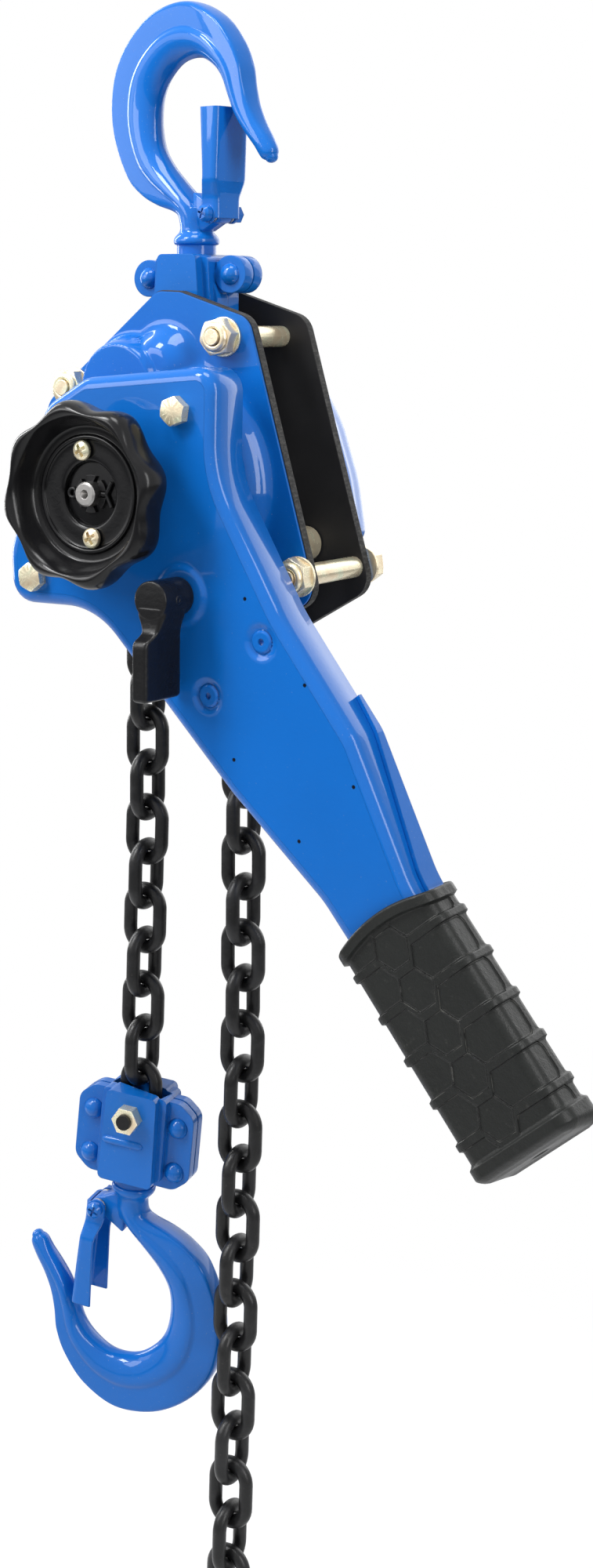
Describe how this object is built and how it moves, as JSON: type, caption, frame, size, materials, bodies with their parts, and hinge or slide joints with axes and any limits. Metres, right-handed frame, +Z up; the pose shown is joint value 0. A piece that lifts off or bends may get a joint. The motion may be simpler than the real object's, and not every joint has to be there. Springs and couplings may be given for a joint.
{
  "type": "lever_chain_hoist",
  "caption": "Lever chain hoist with a latched top hook, riveted yoke, pressed covers, geared sheave, load brake, reversing lever, hand knob, round-link chain and a latched bottom hook",
  "frame": {"origin": "where the load line meets the seat of the top hook's bowl, from which the hoist hangs", "axes": "+Z up along the load line, -Y the front with the lever and the hand knob, +X the side of the slack fall; the sheave turns about Y"},
  "size_m": [0.3562, 0.1565, 0.935],
  "materials": {
    "blue_paint": "gloss",
    "black_finish": "satin",
    "yellow_zinc": "plated",
    "bright_zinc": "plated",
    "bare_steel": "machined",
    "lining": "matte",
    "rubber": "matte"
  },
  "bodies": {
    "top_hook": {"top_hook": "blue_paint", "top_latch_screw": "blue_paint", "top_latch_spring": "bare_steel"},
    "top_latch": {"top_latch": "blue_paint"},
    "top_yoke": {"top_yoke_front": "blue_paint", "top_yoke_rear": "blue_paint", "top_yoke_rivets": "blue_paint"},
    "frame": {"top_pin": "bare_steel", "front_side_plate": "black_finish", "rear_side_plate": "black_finish", "brake_cover": "blue_paint", "gear_cover": "blue_paint", "stay_bolts": "yellow_zinc", "stay_nuts": "bright_zinc", "sheave_bushes": "bare_steel", "gear_bushes": "bare_steel", "chain_stripper": "bare_steel", "guide_rollers": "yellow_zinc", "ratchet_disc": "bare_steel", "pawl_pins": "bare_steel"},
    "load_sheave": {"load_sheave": "bare_steel", "load_gear": "bare_steel", "wrapped_chain": "black_finish"},
    "reduction_gear_a": {"reduction_gear_a": "bare_steel"},
    "reduction_gear_b": {"reduction_gear_b": "bare_steel"},
    "drive": {"drive_shaft": "bare_steel", "brake_hub": "bare_steel", "friction_linings": "lining", "change_gear": "bare_steel", "knob": "black_finish", "knob_screws": "bright_zinc", "castle_nut": "black_finish", "split_pin": "bare_steel"},
    "brake_pawl_a": {"brake_pawl_a": "bare_steel"},
    "brake_pawl_b": {"brake_pawl_b": "bare_steel"},
    "lever": {"lever_front_shell": "blue_paint", "lever_rear_shell": "blue_paint", "lever_bolts": "bright_zinc", "lever_nuts": "bare_steel", "lever_rivets": "blue_paint", "grip": "rubber"},
    "selector": {"selector_lever": "black_finish", "selector_screw": "bright_zinc", "change_pawl": "bare_steel"},
    "load_fall_upper": {"load_chain_upper": "black_finish"},
    "load_fall_middle": {"load_chain_middle": "black_finish"},
    "load_fall_lower": {"load_chain_lower": "black_finish"},
    "bottom_block": {"bottom_yoke_front": "blue_paint", "bottom_yoke_rear": "blue_paint", "bottom_yoke_rivets": "blue_paint", "chain_anchor_bolt": "black_finish", "chain_anchor_nut": "bright_zinc"},
    "bottom_hook": {"bottom_hook": "blue_paint", "bottom_latch_screw": "blue_paint", "bottom_latch_spring": "bare_steel"},
    "bottom_latch": {"bottom_latch": "blue_paint"},
    "slack_fall_upper": {"slack_chain_upper": "black_finish"},
    "slack_fall_middle": {"slack_chain_middle": "black_finish"},
    "slack_fall_lower": {"slack_chain_lower": "black_finish"},
    "end_ring": {"chain_end_ring": "black_finish"}
  },
  "joints": [
    {"name": "top_latch_hinge", "type": "hinge", "parent": "top_hook", "child": "top_latch", "pos_m": [0.01694, -0.00299, -0.0805], "axis": [-0.1736, -0.9848, 0], "range_deg": [0, 30], "stiffness_Nm_per_rad": 0.03, "springref_deg": -28.65, "deforming": ["top_latch_spring"]},
    {"name": "top_swivel", "type": "hinge", "parent": "top_hook", "child": "top_yoke", "pos_m": [0, 0, -0.12], "axis": [0, 0, 1], "continuous": true},
    {"name": "frame_swing", "type": "hinge", "parent": "top_yoke", "child": "frame", "pos_m": [0, 0, -0.1355], "axis": [0, 1, 0], "range_deg": [-14, 14]},
    {"name": "sheave_turn", "type": "hinge", "parent": "frame", "child": "load_sheave", "pos_m": [0, 0, -0.2195], "axis": [0, 1, 0], "range_deg": [-5.21, 20.83]},
    {"name": "reduction_gear_a_turn", "type": "hinge", "parent": "frame", "child": "reduction_gear_a", "pos_m": [0.02883, 0, -0.23752], "axis": [0, 1, 0], "range_deg": [-51, 13]},
    {"name": "reduction_gear_b_turn", "type": "hinge", "parent": "frame", "child": "reduction_gear_b", "pos_m": [-0.02883, 0, -0.20148], "axis": [0, 1, 0], "range_deg": [-51, 13]},
    {"name": "drive_turn", "type": "hinge", "parent": "frame", "child": "drive", "pos_m": [0, 0, -0.2195], "axis": [0, 1, 0], "range_deg": [-30.5, 120.5]},
    {"name": "brake_pawl_a_hinge", "type": "hinge", "parent": "frame", "child": "brake_pawl_a", "pos_m": [-0.01723, 0, -0.17685], "axis": [0, -1, 0], "range_deg": [0, 9], "stiffness_Nm_per_rad": 0.02, "springref_deg": -17.19},
    {"name": "brake_pawl_b_hinge", "type": "hinge", "parent": "frame", "child": "brake_pawl_b", "pos_m": [0.01723, 0, -0.26215], "axis": [0, -1, 0], "range_deg": [0, 9], "stiffness_Nm_per_rad": 0.02, "springref_deg": -17.19},
    {"name": "lever_swing", "type": "hinge", "parent": "frame", "child": "lever", "pos_m": [0, 0, -0.2195], "axis": [0, 1, 0], "continuous": true},
    {"name": "selector_turn", "type": "hinge", "parent": "lever", "child": "selector", "pos_m": [0.04132, 0, -0.26814], "axis": [0, 1, 0], "range_deg": [-25, 25]},
    {"name": "load_fall_travel", "type": "slide", "parent": "frame", "child": "load_fall_upper", "axis": [0, 0, 1], "range_m": [-0.00282, 0.01129]},
    {"name": "slack_fall_travel", "type": "slide", "parent": "frame", "child": "slack_fall_upper", "axis": [0, 0, -1], "range_m": [-0.00282, 0.01129]},
    {"name": "load_fall_sway", "type": "hinge", "parent": "load_fall_upper", "child": "load_fall_middle", "pos_m": [-0.031, 0, -0.27753], "axis": [1, 0, 0], "range_deg": [-12, 12]},
    {"name": "load_fall_bend", "type": "hinge", "parent": "load_fall_middle", "child": "load_fall_lower", "pos_m": [-0.031, 0, -0.39753], "axis": [0, 1, 0], "range_deg": [0, 23]},
    {"name": "block_tilt", "type": "hinge", "parent": "load_fall_lower", "child": "bottom_block", "pos_m": [-0.03519, 0, -0.55772], "axis": [-0.2237, 0.9744, 0.0235], "range_deg": [-0.5, 8]},
    {"name": "bottom_swivel", "type": "hinge", "parent": "bottom_block", "child": "bottom_hook", "pos_m": [-0.0399, 0, -0.60248], "axis": [0.1045, 0, 0.9945], "continuous": true},
    {"name": "bottom_latch_hinge", "type": "hinge", "parent": "bottom_hook", "child": "bottom_latch", "pos_m": [-0.0578, -0.00416, -0.61316], "axis": [0.2406, -0.9703, -0.0253], "range_deg": [0, 30], "stiffness_Nm_per_rad": 0.03, "springref_deg": -28.65, "deforming": ["bottom_latch_spring"]},
    {"name": "slack_fall_sway", "type": "hinge", "parent": "slack_fall_upper", "child": "slack_fall_middle", "pos_m": [0.031, 0, -0.28744], "axis": [1, 0, 0], "range_deg": [-12, 12]},
    {"name": "slack_fall_bend", "type": "hinge", "parent": "slack_fall_middle", "child": "slack_fall_lower", "pos_m": [0.031, 0, -0.50344], "axis": [0, 1, 0], "range_deg": [-23, 0]},
    {"name": "end_ring_swing", "type": "hinge", "parent": "slack_fall_lower", "child": "end_ring", "pos_m": [0.02094, 0, -0.88731], "axis": [0, 1, 0], "range_deg": [-40, 40]}
  ],
  "couplings": [
    {"joint": "reduction_gear_a_turn", "follows": "sheave_turn", "ratio": -2.4},
    {"joint": "reduction_gear_b_turn", "follows": "sheave_turn", "ratio": -2.4},
    {"joint": "drive_turn", "follows": "sheave_turn", "ratio": 5.76},
    {"joint": "load_fall_travel", "follows": "sheave_turn", "m_per_rad": 0.030997},
    {"joint": "slack_fall_travel", "follows": "sheave_turn", "m_per_rad": 0.030997}
  ]
}
